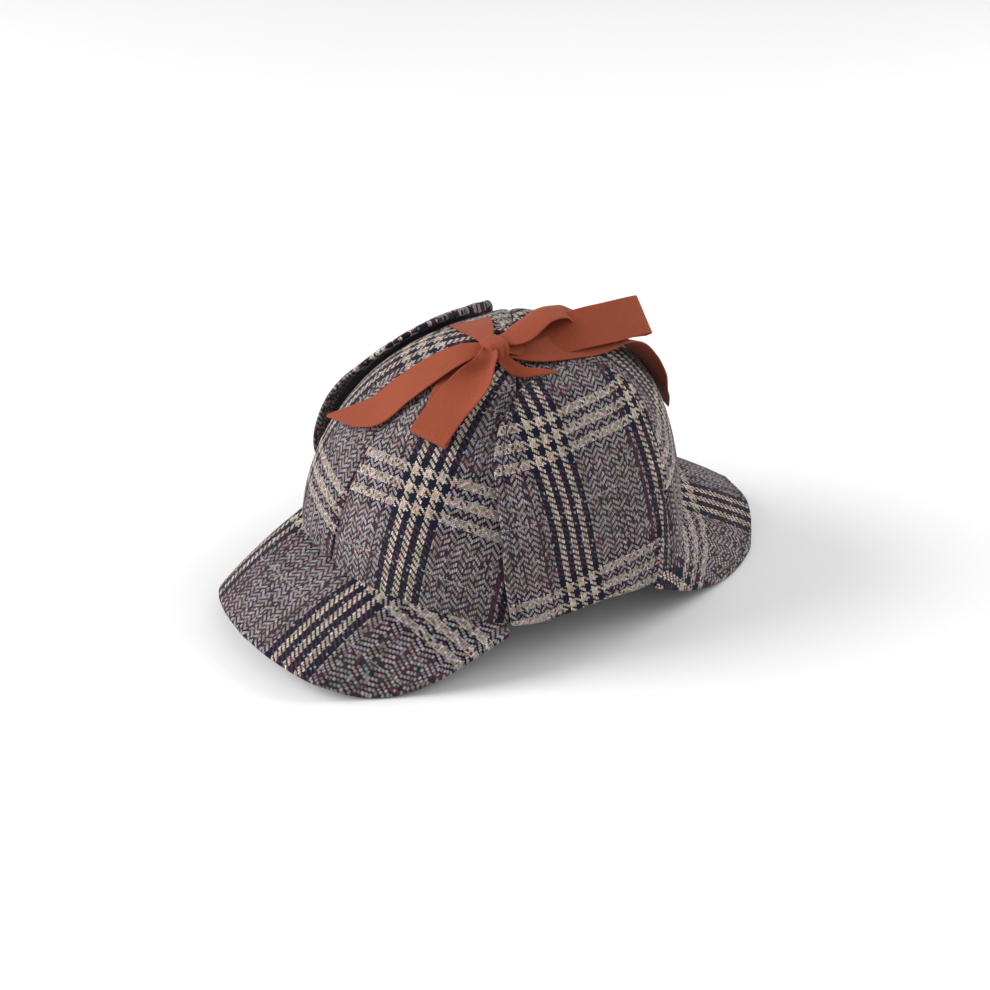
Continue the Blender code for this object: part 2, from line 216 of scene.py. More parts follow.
# ---- how the cloth was cut
# The plaid in yarns: the width of a stripe, of the band of stripes, and the repeat.
STRIPE_ENDS = 4
BAND_ENDS = 28
REPEAT_ENDS = 72
STRIPE_PICKS = 6
BAND_PICKS = 42
REPEAT_PICKS = 112
HERRING_ENDS = 4            # ends between two turns of the herringbone
TWILL_PICKS = 4             # picks in a repeat of the twill
WARP_FLOAT = 2.3            # and how many of them an end lies over
DARK_ENDS = 0.02            # share of the ends between the bands that are dark
DARK_PICKS = 0.94           # and of the picks
ODD_FLOATS = 0.08           # share of the floats that change from light to dark or back
STRAY_MAROONS = 0.06        # and of those that are maroon

# ---- how the cloth gives (metres)
SEAM_PULL_REACH = 0.0024    # how far from a seam the cloth is still drawn in
RUCK = 0.00025              # height of the rucks along a seam
RUCK_REACH = 0.006          # how far from the seam they run
SLACK = 0.0005              # how far the crown's cloth stands off its true shape
SLACK_SPAN = 0.030          # and the size of a swell of it
FLAP_SLACK = 0.0004         # the same for a flap's cloth

# ---- the stitched rows (metres, but for the shares)
FLAP_ROW = 0.0036           # how far a row of stitches runs inside a flap's edge
PEAK_ROW = 0.0042           # and inside a peak's outer edge
STITCH_PULL = 0.20          # how far a row draws the cloth in, as a share of half its thickness
STITCH_REACH = 0.0008       # and how far to each side of the row
FLAP_ROW_ACROSS = 0.037     # where the row runs, as a share of a flap's width
FLAP_ROW_UP = 0.031         # of its height
PEAK_ROW_OUT = 0.085        # and of a peak's depth

# How the cloth lies on each piece. A place in the pattern is counted across and up from the
# lower left corner of a crossing of two bands: where the middle of the piece's foot is in it (mm),
# the cloth's ease across and up, its lean each way, and how far it bows up at the sides.
# piece: (across, up, ease across, ease up, lean with height, lean with width, bow per metre)
CUT = {
    "crown_panel_1": (15.2, -41.3, 0.96, 1.088, -0.07, 0.047, 3),
    "crown_panel_2": (-18, -41.3, 0.96, 1.088, 0, 0, 3),
    "crown_panel_3": (11.5, -41.3, 0.96, 1.088, 0, 0, 3),
    "crown_panel_4": (11.5, -41.3, 0.96, 1.088, 0, 0, 3),
    "crown_panel_5": (-18, -41.3, 0.96, 1.088, 0, 0, 3),
    "crown_panel_6": (11.5, -18, 0.96, 1.088, 0, 0, 3),
    "ear_flap_left": (13, -78.3, 1.066, 1.069, 0.2, -0.17, 0),
    "ear_flap_right": (37.5, -78.3, 1.066, 1.069, 0, 0, 0),
}
# The peaks are cut flat, with the warp running front to back. Where the middle of the hat is in
# the pattern (mm), how much cloth a metre to the side, back and up takes, how far the cloth bows
# up at the sides, and the ends in a repeat of the plaid.
# piece: (across, up, across per side, up per back, up per height, bow per metre, repeat)
PEAK_CUT = {
    "front_peak": (-19.1, 47.3, 0.895, 0.816, 0.852, 1, 88),
    "rear_peak": (-26.1, -19.1, 1.087, -0.275, 1.388, 4.8, 72),
}


class HatSettings(bpy.types.PropertyGroup):
    """The sizes and colours of the hat's cloth and ribbon, the depth of the crown's seams and the
    rows of its panels.
    """

    end_pitch: FloatProperty(
        name="End Spacing", description="Distance between two lengthwise yarns of the cloth",
        default=0.00082, min=0.0003, max=0.003, precision=5, unit="LENGTH")
    pick_pitch: FloatProperty(
        name="Pick Spacing", description="Distance between two crosswise yarns of the cloth",
        default=0.00078, min=0.0003, max=0.003, precision=5, unit="LENGTH")
    cream: FloatVectorProperty(
        name="Cream Yarn", description="Colour of the light stripes",
        subtype="COLOR", size=4, min=0.0, max=1.0, default=(0.425, 0.350, 0.282, 1.0))
    navy: FloatVectorProperty(
        name="Navy Yarn", description="Colour of the dark stripes",
        subtype="COLOR", size=4, min=0.0, max=1.0, default=(0.004, 0.005, 0.020, 1.0))
    light_ground: FloatVectorProperty(
        name="Light Ground Yarn", description="Colour of the light yarns between the stripes",
        subtype="COLOR", size=4, min=0.0, max=1.0, default=(0.240, 0.208, 0.206, 1.0))
    dark_ground: FloatVectorProperty(
        name="Dark Ground Yarn", description="Colour of the dark yarns between the stripes",
        subtype="COLOR", size=4, min=0.0, max=1.0, default=(0.036, 0.027, 0.035, 1.0))
    fleck: FloatVectorProperty(
        name="Fleck", description="Colour of the few maroon yarns beside the stripes",
        subtype="COLOR", size=4, min=0.0, max=1.0, default=(0.075, 0.018, 0.028, 1.0))
    ribbon: FloatVectorProperty(
        name="Ribbon", description="Colour of the ribbon",
        subtype="COLOR", size=4, min=0.0, max=1.0, default=(0.236, 0.046, 0.018, 1.0))
    lining: FloatVectorProperty(
        name="Lining", description="Colour of the lining inside the crown and the flaps",
        subtype="COLOR", size=4, min=0.0, max=1.0, default=(0.012, 0.013, 0.034, 1.0))
    rib_pitch: FloatProperty(
        name="Ribbon Rib", description="Distance between two ribs of the ribbon",
        default=0.00055, min=0.0002, max=0.003, precision=5, unit="LENGTH")
    seam_depth: FloatProperty(
        name="Seam Depth", description="How far the cloth is drawn in at a seam of the crown",
        default=0.0005, min=0.0, max=0.003, precision=5, unit="LENGTH")
    panel_steps: IntProperty(
        name="Panel Steps", description="Rows of faces up a crown panel",
        default=56, min=8, max=120)


def settings():
    return bpy.context.scene.deerstalker_hat


# ---- reading the tables
def smooth_read(rows, at, column, mirrored=False):
    """Value of a table's column at a place along its first column, on a smooth curve.

    A mirrored table goes on past both ends as its own mirror image.
    """
    last = len(rows) - 1
    at = min(max(at, rows[0][0]), rows[last][0])
    i = max(k for k in range(last) if rows[k][0] <= at)

    def slope(k):
        if k in (0, last):
            if mirrored:
                return 0.0
            near = 1 if k == 0 else last - 1
            return (rows[near][column] - rows[k][column]) / (rows[near][0] - rows[k][0])
        return (rows[k + 1][column] - rows[k - 1][column]) / (rows[k + 1][0] - rows[k - 1][0])

    span = rows[i + 1][0] - rows[i][0]
    t = (at - rows[i][0]) / span
    return (rows[i][column] * (2 * t**3 - 3 * t**2 + 1)
            + rows[i + 1][column] * (3 * t**2 - 2 * t**3)
            + span * (slope(i) * (t**3 - 2 * t**2 + t) + slope(i + 1) * (t**3 - t**2)))


# ---- the crown's surface
def rim(angle, column):
    """A column of the rim's table in metres, the same on both sides of the hat."""
    return smooth_read(RIM, abs((angle + 180.0) % 360.0 - 180.0), column, mirrored=True) * MM


def bare_crown(angle, climb):
    """Point of the dome, angle degrees from the front and climb degrees up from the rim."""
    turn = radians(angle)
    rise = radians(min(max(climb, 0.0), 89.9))
    reach = cos(rise) ** (2 / SIDE_FULLNESS)
    ascent = sin(rise) ** (2 / TOP_FULLNESS)
    across_panel = abs(sin(turn * PANEL_COUNT / 2)) ** 0.8
    radius = rim(angle, 1) * reach
    radius += PANEL_PUFF * across_panel * min(1.0, 4 * reach)
    low = rim(angle, 2)
    return Vector((
        radius * sin(turn),
        -radius * cos(turn) + APEX_SHIFT * ascent,
        low + (CROWN_TOP - low) * ascent,
    ))


def crown_point(angle, climb, lift=0.0):
    """Point at a height above the dome, measured square to the dome."""
    step = 0.5
    climb = min(max(climb, 0.0), 89.5 - step)
    round_it = bare_crown(angle + step, climb) - bare_crown(angle - step, climb)
    up_it = bare_crown(angle, climb + step) - bare_crown(angle, max(climb - step, 0.0))
    outward = round_it.cross(up_it).normalized()
    return bare_crown(angle, climb) + outward * lift


# ---- node trees
def feed(tree, socket, value):
    """Joins a socket to another socket, or sets it to a plain value."""
    if isinstance(value, bpy.types.NodeSocket):
        tree.links.new(value, socket)
    else:
        socket.default_value = value


def add_node(tree, kind, fed=None, **facts):
    """A node with its facts set and its inputs fed, each by its name or number."""
    made = tree.nodes.new(kind)
    for name, value in facts.items():
        setattr(made, name, value)
    for name, value in (fed or {}).items():
        feed(tree, made.inputs[name], value)
    return made


def reckon(tree, how, *values):
    return add_node(tree, "ShaderNodeMath", dict(enumerate(values)), operation=how).outputs[0]


def choose(tree, share, colour_0, colour_1, blend="MIX"):
    return add_node(tree, "ShaderNodeMix", {0: share, 6: colour_0, 7: colour_1},
                    data_type="RGBA", blend_type=blend).outputs[2]


def shaded(tree, colour, shade):
    return choose(tree, 1.0, colour, shade, "MULTIPLY")


def group_tree(name, kind, taken, given):
    """An empty node group, and its sockets inside: (name, kind of socket, default if any)."""
    tree = bpy.data.node_groups.new(name, kind)
    for facing, sockets in (("INPUT", taken), ("OUTPUT", given)):
        for title, socket_kind, *default in sockets:
            socket = tree.interface.new_socket(
                title, in_out=facing, socket_type="NodeSocket" + socket_kind)
            if default:
                socket.default_value = default[0]
    start, end = tree.nodes.new("NodeGroupInput"), tree.nodes.new("NodeGroupOutput")
    return tree, start.outputs, end.inputs


def woven_plaid():
    """The cloth: a two-and-two twill of single yarns whose colours make the plaid, with painted
    shade between the yarns.
    """
    name = "woven_plaid"
    if made := bpy.data.node_groups.get(name):
        return made
    hat = settings()
    tree, taken, given = group_tree(name, "ShaderNodeTree", (
        ("Cloth", "Vector"),
        ("End Spacing", "Float", hat.end_pitch),
        ("Pick Spacing", "Float", hat.pick_pitch),
        ("Repeat Ends", "Float", REPEAT_ENDS),
        ("Cream", "Color", hat.cream),
        ("Navy", "Color", hat.navy),
        ("Light Ground", "Color", hat.light_ground),
        ("Dark Ground", "Color", hat.dark_ground),
        ("Fleck", "Color", hat.fleck),
    ), (("Color", "Color"), ("Height", "Float")))
    calc = partial(reckon, tree)

    # hairs wander a little off each yarn
    hairs = add_node(tree, "ShaderNodeTexNoise", {
        "Vector": taken["Cloth"], "Scale": 2600.0, "Detail": 1.0}, noise_dimensions="2D")
    away = add_node(tree, "ShaderNodeVectorMath", {
        0: hairs.outputs["Color"], 1: (0.5, 0.5, 0.5)}, operation="SUBTRACT")
    drift = add_node(tree, "ShaderNodeVectorMath", {
        0: away.outputs[0], 1: (0.0004, 0.0004, 0.0), 2: taken["Cloth"]},
        operation="MULTIPLY_ADD")
    place = add_node(tree, "ShaderNodeSeparateXYZ", {0: drift.outputs[0]}).outputs

    x = calc("DIVIDE", place[0], taken["End Spacing"])
    y = calc("DIVIDE", place[1], taken["Pick Spacing"])
    end, pick = calc("FLOOR", x), calc("FLOOR", y)
    end_share, pick_share = calc("FRACT", x), calc("FRACT", y)
    end_in = calc("FLOORED_MODULO", end, taken["Repeat Ends"])
    pick_in = calc("FLOORED_MODULO", pick, REPEAT_PICKS)
    end_band = calc("LESS_THAN", end_in, BAND_ENDS - 0.5)
    pick_band = calc("LESS_THAN", pick_in, BAND_PICKS - 0.5)

    # the twill runs straight through a band and turns to and fro between bands
    turned = calc("PINGPONG", calc("SUBTRACT", end_in, BAND_ENDS), HERRING_ENDS)
    step = calc("ADD", calc("MULTIPLY", end_in, end_band),
                calc("MULTIPLY", turned, calc("SUBTRACT", 1.0, end_band)))
    # in each repeat of the twill an end lies on top for somewhat more than half of the picks
    course = calc("ADD", step, y)
    twill = calc("FLOORED_MODULO", course, TWILL_PICKS)
    end_on_top = calc("LESS_THAN", twill, WARP_FLOAT)
    pick_on_top = calc("SUBTRACT", 1.0, end_on_top)

    # chances for each float of yarn that shows on the face
    float_number = calc("ADD", calc("FLOOR", calc("DIVIDE", course, TWILL_PICKS)),
                        calc("MULTIPLY", end_on_top, 0.5))
    spot = add_node(tree, "ShaderNodeCombineXYZ", {0: end, 1: float_number})
    chance = add_node(tree, "ShaderNodeTexWhiteNoise", {"Vector": spot.outputs[0]},
                      noise_dimensions="2D").outputs["Color"]
    chances = add_node(tree, "ShaderNodeSeparateColor", {0: chance}).outputs
    odd_one = calc("LESS_THAN", chances[0], ODD_FLOATS)
    stray_maroon = calc("LESS_THAN", chances[1], STRAY_MAROONS)

    def yarn_colour(number, in_repeat, in_band, stripe, band, repeat, seed, dark_share):
        dark_stripe = calc("LESS_THAN", calc("FLOORED_MODULO", in_repeat, 2.0 * stripe),
                           stripe - 0.5)
        luck = add_node(tree, "ShaderNodeTexWhiteNoise", {"W": calc("ADD", number, seed)},
                        noise_dimensions="1D").outputs["Value"]
        dark_yarn = calc("LESS_THAN", calc("FRACT", calc("MULTIPLY", luck, 7.0)), dark_share)
        dark_yarn = calc("ABSOLUTE", calc("SUBTRACT", dark_yarn, odd_one))
        striped = choose(tree, dark_stripe, taken["Cream"], taken["Navy"])
        ground = choose(tree, dark_yarn, taken["Light Ground"], taken["Dark Ground"])
        # a few maroon yarns lie on either side of a band
        before_next = calc("SUBTRACT", calc("SUBTRACT", repeat, 5.5), in_repeat)
        from_band = calc("MINIMUM", calc("ABSOLUTE", calc("SUBTRACT", in_repeat, band + 4.5)),
                         calc("ABSOLUTE", before_next))
        maroon = calc("MULTIPLY", calc("LESS_THAN", from_band, 3.0),
                      calc("GREATER_THAN", luck, 0.65))
        ground = choose(tree, calc("MAXIMUM", maroon, stray_maroon), ground, taken["Fleck"])
        colour = choose(tree, in_band, ground, striped)
        return shaded(tree, colour, calc("MULTIPLY_ADD", luck, 0.30, 0.85))

    # between the bands most ends are light and most picks are dark
    end_colour = yarn_colour(end, end_in, end_band, STRIPE_ENDS, BAND_ENDS,
                             taken["Repeat Ends"], 0.3, DARK_ENDS)
    pick_colour = yarn_colour(pick, pick_in, pick_band, STRIPE_PICKS, BAND_PICKS,
                              REPEAT_PICKS, 500.3, DARK_PICKS)
    colour = choose(tree, end_on_top, pick_colour, end_colour)

    # each float is rounded across, and dips under its neighbours at its two ends
    def hump(share, amount):
        middle = calc("SUBTRACT", calc("MULTIPLY", share, 2.0), 1.0)
        return calc("MULTIPLY", calc("MULTIPLY", middle, middle), amount)

    over = calc("ADD", hump(end_share, 0.80), hump(calc("DIVIDE", twill, WARP_FLOAT), 0.20))
    under = calc("ADD", hump(pick_share, 0.70), 0.10)
    low = calc("ADD", calc("MULTIPLY", over, end_on_top), calc("MULTIPLY", under, pick_on_top))
    height = calc("SUBTRACT", 1.0, low)

    # each float is lighter or darker at random, and its colour is made darker where the weave is
    # low (at the yarns' sides and ends, and on the lower weft): painted shade between the yarns
    speckle = calc("MULTIPLY_ADD", chances[2], 0.80, 0.60)
    shade = calc("MULTIPLY", speckle, calc("MULTIPLY_ADD", height, 1.05, 0.08))
    # odd coloured hairs in the yarn
    tint = choose(tree, 0.24, shaded(tree, colour, shade), chance, "SOFT_LIGHT")
    feed(tree, given["Color"], tint)
    feed(tree, given["Height"], height)
    return tree


def used_look():
    """How cloth and ribbon that have been handled vary: a slow mottling and a fine nap."""
    name = "handled_cloth"
    if made := bpy.data.node_groups.get(name):
        return made
    tree, taken, given = group_tree(name, "ShaderNodeTree", (
        ("Color", "Color", (0.5, 0.5, 0.5, 1.0)),
        ("Mottling", "Float", 0.12),
        ("Roughness", "Float", 0.85),
    ), (("Color", "Color"), ("Roughness", "Float"), ("Nap", "Float")))
    place = add_node(tree, "ShaderNodeTexCoord").outputs["Object"]
    broad, nap = [add_node(tree, "ShaderNodeTexNoise", {
        "Vector": place, "Scale": scale, "Detail": detail}).outputs["Fac"]
        for scale, detail in ((55.0, 3.0), (1500.0, 2.0))]
    swing = reckon(tree, "SUBTRACT", broad, 0.5)
    shade = reckon(tree, "MULTIPLY_ADD", swing,
                   reckon(tree, "MULTIPLY", taken["Mottling"], 2.0), 1.0)
    feed(tree, given["Color"], shaded(tree, taken["Color"], shade))
    feed(tree, given["Roughness"], reckon(tree, "MULTIPLY_ADD", swing, 0.2, taken["Roughness"]))
    feed(tree, given["Nap"], nap)
    return tree


def ribs(tree, place, turns):
    """Rounded ribs, side by side, as a height over a place across them."""
    return reckon(tree, "ABSOLUTE", reckon(tree, "SINE", reckon(tree, "MULTIPLY", place, turns)))


def ribbed_tape():
    """Fine grosgrain: ribs across the tape and closer yarns along it."""
    name = "ribbed_tape"
    if made := bpy.data.node_groups.get(name):
        return made
    hat = settings()
    tree, taken, given = group_tree(name, "ShaderNodeTree", (
        ("Tape", "Vector"),
        ("Rib Spacing", "Float", hat.rib_pitch),
        ("Color", "Color", hat.ribbon),
    ), (("Color", "Color"), ("Height", "Float")))
    calc = partial(reckon, tree)
    place = add_node(tree, "ShaderNodeSeparateXYZ", {0: taken["Tape"]}).outputs
    along = calc("DIVIDE", place[0], taken["Rib Spacing"])
    across = calc("DIVIDE", place[1], taken["Rib Spacing"])
    height = calc("MULTIPLY_ADD", ribs(tree, across, 1.6 * pi), 0.35, ribs(tree, along, pi))
    spot = add_node(tree, "ShaderNodeCombineXYZ", {
        0: calc("FLOOR", along), 1: calc("FLOOR", calc("MULTIPLY", across, 0.4))})
    chance = add_node(tree, "ShaderNodeTexWhiteNoise", {"Vector": spot.outputs[0]},
                      noise_dimensions="2D").outputs["Value"]
    # each rib is a little lighter or darker at random, and the grooves between the ribs are
    # painted darker: painted shade
    shade = calc("MULTIPLY_ADD", chance, 0.10, calc("MULTIPLY_ADD", height, 0.10, 0.85))
    feed(tree, given["Color"], shaded(tree, taken["Color"], shade))
    feed(tree, given["Height"], height)
    return tree


def new_finish(name, colour, roughness, sheen):
    """A material with its own shader, and constants set on the shader's own sockets."""
    made = bpy.data.materials.new(name)
    made.use_nodes = True
    made.diffuse_color = colour
    shader = made.node_tree.nodes["Principled BSDF"]
    for title, value in (("Roughness", roughness), ("Specular IOR Level", 0.15),
                         ("Sheen Weight", sheen), ("Sheen Roughness", 0.55)):
        shader.inputs[title].default_value = value
    return made, made.node_tree, shader


def wear_in(tree, shader, colour, mottling, roughness):
    """Joins a colour to the shader with the used look over it, and gives the nap's height."""
    used = add_node(tree, "ShaderNodeGroup", {
        "Color": colour, "Mottling": mottling, "Roughness": roughness}, node_tree=used_look())
    feed(tree, shader.inputs["Base Color"], used.outputs["Color"])
    feed(tree, shader.inputs["Roughness"], used.outputs["Roughness"])
    return used.outputs["Nap"]


def raise_surface(tree, shader, height, strength, distance):
    bump = add_node(tree, "ShaderNodeBump", {
        "Strength": strength, "Distance": distance, "Height": height})
    feed(tree, shader.inputs["Normal"], bump.outputs["Normal"])


def flat_place(tree):
    """Where a point of the surface lay in the flat cloth."""
    return add_node(tree, "ShaderNodeUVMap", uv_map="cloth").outputs["UV"]


def plaid_wool(name="plaid_wool_cloth", repeat=REPEAT_ENDS):
    """Finish of the outer cloth, with a number of ends in a repeat of its plaid."""
    if made := bpy.data.materials.get(name):
        return made
    made, tree, shader = new_finish(name, (0.36, 0.33, 0.33, 1.0), 0.9, 0.03)
    plaid = add_node(tree, "ShaderNodeGroup", {
        "Cloth": flat_place(tree), "Repeat Ends": repeat}, node_tree=woven_plaid()).outputs
    nap = wear_in(tree, shader, plaid["Color"], 0.12, 0.88)
    height = reckon(tree, "MULTIPLY_ADD", nap, 0.5, plaid["Height"])
    raise_surface(tree, shader, height, 0.5, 0.0003)
    return made


def dark_lining():
    """Finish of the twill lining inside the crown and behind the flaps."""
    name = "dark_lining_cloth"
    if made := bpy.data.materials.get(name):
        return made
    lining = settings().lining
    made, tree, shader = new_finish(name, lining, 0.6, 0.1)
    place = add_node(tree, "ShaderNodeSeparateXYZ", {0: flat_place(tree)}).outputs
    wale = ribs(tree, reckon(tree, "ADD", place[0], place[1]), 5200.0)
    # the lining is painted darker in the grooves between its wales: painted shade
    colour = shaded(tree, lining, reckon(tree, "MULTIPLY_ADD", wale, 0.5, 0.65))
    wear_in(tree, shader, colour, 0.2, 0.6)
    raise_surface(tree, shader, wale, 0.4, 0.0002)
    return made


def rust_ribbon():
    """Finish of the ribbon."""
    name = "rust_ribbon_cloth"
    if made := bpy.data.materials.get(name):
        return made
    made, tree, shader = new_finish(name, settings().ribbon, 0.75, 0.05)
    tape = add_node(tree, "ShaderNodeGroup", {"Tape": flat_place(tree)},
                    node_tree=ribbed_tape()).outputs
    wear_in(tree, shader, tape["Color"], 0.08, 0.72)
    raise_surface(tree, shader, tape["Height"], 0.35, 0.0002)
    return made


def dark_thread():
    """Finish of the sewing thread."""
    name = "dark_thread"
    if made := bpy.data.materials.get(name):
        return made
    colour = (0.03, 0.025, 0.04, 1.0)
    made, tree, shader = new_finish(name, colour, 0.6, 0.0)
    raise_surface(tree, shader, wear_in(tree, shader, colour, 0.3, 0.6), 0.3, 0.0001)
    return made


# ---- cloth as meshes
def add_object(name, data):
    made = bpy.data.objects.new(name, data)
    bpy.context.scene.collection.objects.link(made)
    return made


def steps_across(count, edge, stitched=None):
    """Shares from 0 to 1 for a grid's lines, closer together within edge of each end.

    They are closer together at a stitched row too, which is that share in from each end.
    """
    near = [edge * share for share in (0.0, 0.08, 0.25, 0.55, 1.0)]
    if stitched:
        near += [stitched * share for share in (0.76, 0.88, 1.0, 1.12, 1.24)]
    inner = [edge + (1.0 - 2.0 * edge) * n / count for n in range(1, count)]
    return (sorted(near) + [share for share in inner if max(near) < share < 1.0 - max(near)]
            + [1.0 - share for share in sorted(near, reverse=True)])


def walked(points, middle):
    """Distance of each of a row's points from its middle one, along the row."""
    lengths = [0.0]
    for before, after in zip(points, points[1:]):
        lengths.append(lengths[-1] + (after - before).length)
    return [length - lengths[middle] for length in lengths]


def cloth_piece(name, face, back, across, along, pattern, finishes, rounding, foot=None,
                hem=0.0, stitched=None):
    """A closed sheet between two surfaces, its edges rounded over.

    face and back give points for two shares from 0 to 1. pattern turns the grid of the face's
    points into each corner's place in the flat cloth. foot is the rounding of the edge that is
    sewn, hem how far the outer cloth is turned in on the back, and stitched how far from the
    edge a row of stitches draws the cloth in.
    """
    rows, columns = len(along), len(across)
    outer, inner = [[[side(u, v) for u in across] for v in along] for side in (face, back)]
    places = pattern(outer, across, along)
    wide = [(row[-1] - row[0]).length for row in outer]
    tall = [sum((outer[r + 1][c] - outer[r][c]).length for r in range(rows - 1))
            for c in range(columns)]
    corners, flat = [], []
    face_number, back_number, from_border = {}, {}, {}
    for r, v in enumerate(along):
        for c, u in enumerate(across):
            inside = max(min(u * wide[r], (1.0 - u) * wide[r], (1.0 - v) * tall[c]), 0.0)
            from_border[r, c] = inside
            share = min(inside / rounding, v * tall[c] / (foot or rounding), 1.0)
            full = sqrt(1.0 - (1.0 - share) ** 2)
            if stitched:
                full -= STITCH_PULL * exp(-((inside - stitched) / STITCH_REACH) ** 2)
            middle = (outer[r][c] + inner[r][c]) / 2.0
            on_edge = r in (0, rows - 1) or c in (0, columns - 1)
            face_number[r, c] = back_number[r, c] = len(corners)
            corners.append(middle if on_edge else middle.lerp(outer[r][c], full))
            if not on_edge:
                back_number[r, c] = len(corners)
                corners.append(middle.lerp(inner[r][c], full))
            flat += [places[r][c]] * (len(corners) - len(flat))
    faces, looks = [], []
    for number, look in ((face_number, 0), (back_number, len(finishes) - 1)):
        for r in range(rows - 1):
            for c in range(columns - 1):
                loop = [number[r, c], number[r, c + 1], number[r + 1, c + 1], number[r + 1, c]]
                faces.append(loop if number is face_number else loop[::-1])
                turned_in = min(from_border[r, c], from_border[r + 1, c + 1]) < hem
                looks.append(0 if turned_in else look)
    return mesh_piece(name, corners, faces, flat, looks, finishes)


def mesh_piece(name, corners, faces, flat, looks, finishes):
    """An object from corners and faces, with its place in the flat cloth as its UV map."""
    mesh = bpy.data.meshes.new(name)
    mesh.from_pydata(corners, [], faces)
    mapped = mesh.uv_layers.new(name="cloth")
    for loop in mesh.loops:
        mapped.data[loop.index].uv = flat[loop.vertex_index]
    for finish in finishes:
        mesh.materials.append(finish)
    for polygon, look in zip(mesh.polygons, looks):
        polygon.material_index = look
    shape = bmesh.new()
    shape.from_mesh(mesh)
    if shape.calc_volume(signed=True) < 0.0:
        bmesh.ops.reverse_faces(shape, faces=list(shape.faces))
    shape.to_mesh(mesh)
    shape.free()
    mesh.shade_smooth()
    return add_object(name + "_cloth", mesh)


def cut_pattern(name, turned=False):
    """The way a piece's grid of points is laid on the flat cloth, from its row in CUT."""
    start_u, start_v, ease_u, ease_v, lean_u, lean_v, bow = CUT[name]

    def pattern(grid, across, along):
        middle = min(range(len(across)), key=lambda c: abs(across[c] - 0.5))
        up = walked([row[middle] for row in grid], 0)
        places = []
        for row, high in zip(grid, up):
            sideways = [-side if turned else side for side in walked(row, middle)]
            places.append([(
                start_u * MM + ease_u * side + lean_u * high,
                start_v * MM + ease_v * high + lean_v * side + bow * side * side,
            ) for side in sideways])
        return places
    return pattern


def finish_piece(piece, node):
    """Hangs a piece on the root body, and hides the imported part that it stands in for.

    The cloth in a piece covers half of its closed surface.
    """
    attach(piece, "root")
    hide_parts(node)


# ---- operators
class HAT_OT_crown(bpy.types.Operator):
    """Makes the six cloth panels of the crown, drawn in along their seams"""

    bl_idname = "hat.crown"
    bl_label = "Crown Panels"

    def execute(self, context):
        hat = settings()
        width = 360.0 / PANEL_COUNT
        across = steps_across(40, 0.030)
        along = steps_across(hat.panel_steps, 0.012)
        for number in range(PANEL_COUNT):
            name = f"crown_panel_{number + 1}"
            first_seam = number * width

            def panel(u, v, lift):
                climb = 90.0 * v * (1.0 - APEX_HOLE)
                low = crown_point(first_seam + width * u, climb, lift)
                radius = max(Vector((low.x, low.y - APEX_SHIFT)).length, APEX_HOLE)
                trim = degrees(SEAM_GAP * 0.4 / radius)
                angle = first_seam + trim + (width - 2 * trim) * u
                from_seam = min(u, 1.0 - u) * radians(width) * radius
                drawn = hat.seam_depth * exp(-(from_seam / SEAM_PULL_REACH) ** 2)
                drawn *= min(1.0, climb / 8.0)
                ruck = RUCK * exp(-from_seam / RUCK_REACH)
                ruck *= noise.noise(Vector((climb * 0.35, number * 3.1, u > 0.5)))
                eased = SLACK * noise.noise(low / SLACK_SPAN)
                return crown_point(angle, climb, lift - drawn + ruck + eased)

            piece = cloth_piece(
                name, partial(panel, lift=0.0), partial(panel, lift=-CROWN_WALL), across, along,
                cut_pattern(name), (plaid_wool(), dark_lining()), rounding=0.0011, foot=0.0003)
            finish_piece(piece, name)
        return {"FINISHED"}


def peak_surfaces(edge, half_angle, swell, side):
    """Upper and under side of a peak that is sewn to the rim, on side -1 (front) or 1 (rear)."""
    middle = 0.0 if side < 0 else 180.0

    def face(u, v):
        share = 2.0 * u - 1.0
        angle = middle - side * half_angle * share
        sewn = crown_point(angle, 0.0, -SEWN_IN)
        sewn.z = rim(angle, 2) + MM
        outer = Vector((
            copysign(smooth_read(edge, abs(share), 1), share),
            side * smooth_read(edge, abs(share), 2),
            smooth_read(edge, abs(share), 3),
        )) * MM
        arch = swell * 4.0 * v * (1.0 - v) * (1.0 - share**4)
        return sewn.lerp(outer, v) + Vector((0.0, 0.0, arch))

    def back(u, v):
        step = 0.01
        along = face(min(u + step, 1.0), v) - face(max(u - step, 0.0), v)
        out = face(u, min(v + step, 1.0)) - face(u, max(v - step, 0.0))
        faces = along.cross(out).normalized()
        if faces.z < 0:
            faces.negate()
        clear_of_ends = min(v / 0.15, 0.3 + (1.0 - v) / 0.20, 1.0)
        down = Vector((0.0, 0.0, -1.0)).lerp(-faces, clear_of_ends)
        point = face(u, v) + down * PEAK_WALL
        if point.z < PRESSED:
            point.z = max(0.0, point.z - 0.0002)
        return point

    return face, back


# name of the peak, its edge, how far round it is sewn, its arch, and the side it points to
PEAKS = (
    ("front_peak", FRONT_EDGE, FRONT_HALF_ANGLE, FRONT_ARCH, -1.0),
    ("rear_peak", REAR_EDGE, REAR_HALF_ANGLE, REAR_ARCH, 1.0),
)


class HAT_OT_peaks(bpy.types.Operator):
    """Makes the front and rear peaks, stiff boards covered with the same cloth on both sides"""

    bl_idname = "hat.peaks"
    bl_label = "Peaks"

    def execute(self, context):
        for name, edge, half_angle, swell, side in PEAKS:
            face, back = peak_surfaces(edge, half_angle, swell, side)
            start_u, start_v, per_side, per_back, per_height, bow, repeat = PEAK_CUT[name]

            def pattern(grid, across, along):
                return [[(
                    start_u * MM + per_side * point.x,
                    start_v * MM + per_back * point.y + per_height * point.z
                    + bow * point.x * point.x,
                ) for point in row] for row in grid]

            piece = cloth_piece(
                name, face, back, steps_across(96, 0.009),
                steps_across(26, 0.035, PEAK_ROW_OUT), pattern,
                (plaid_wool(f"plaid_wool_{name}", repeat),), rounding=0.0016, foot=0.0003,
                stitched=PEAK_ROW)
            finish_piece(piece, name)
        return {"FINISHED"}


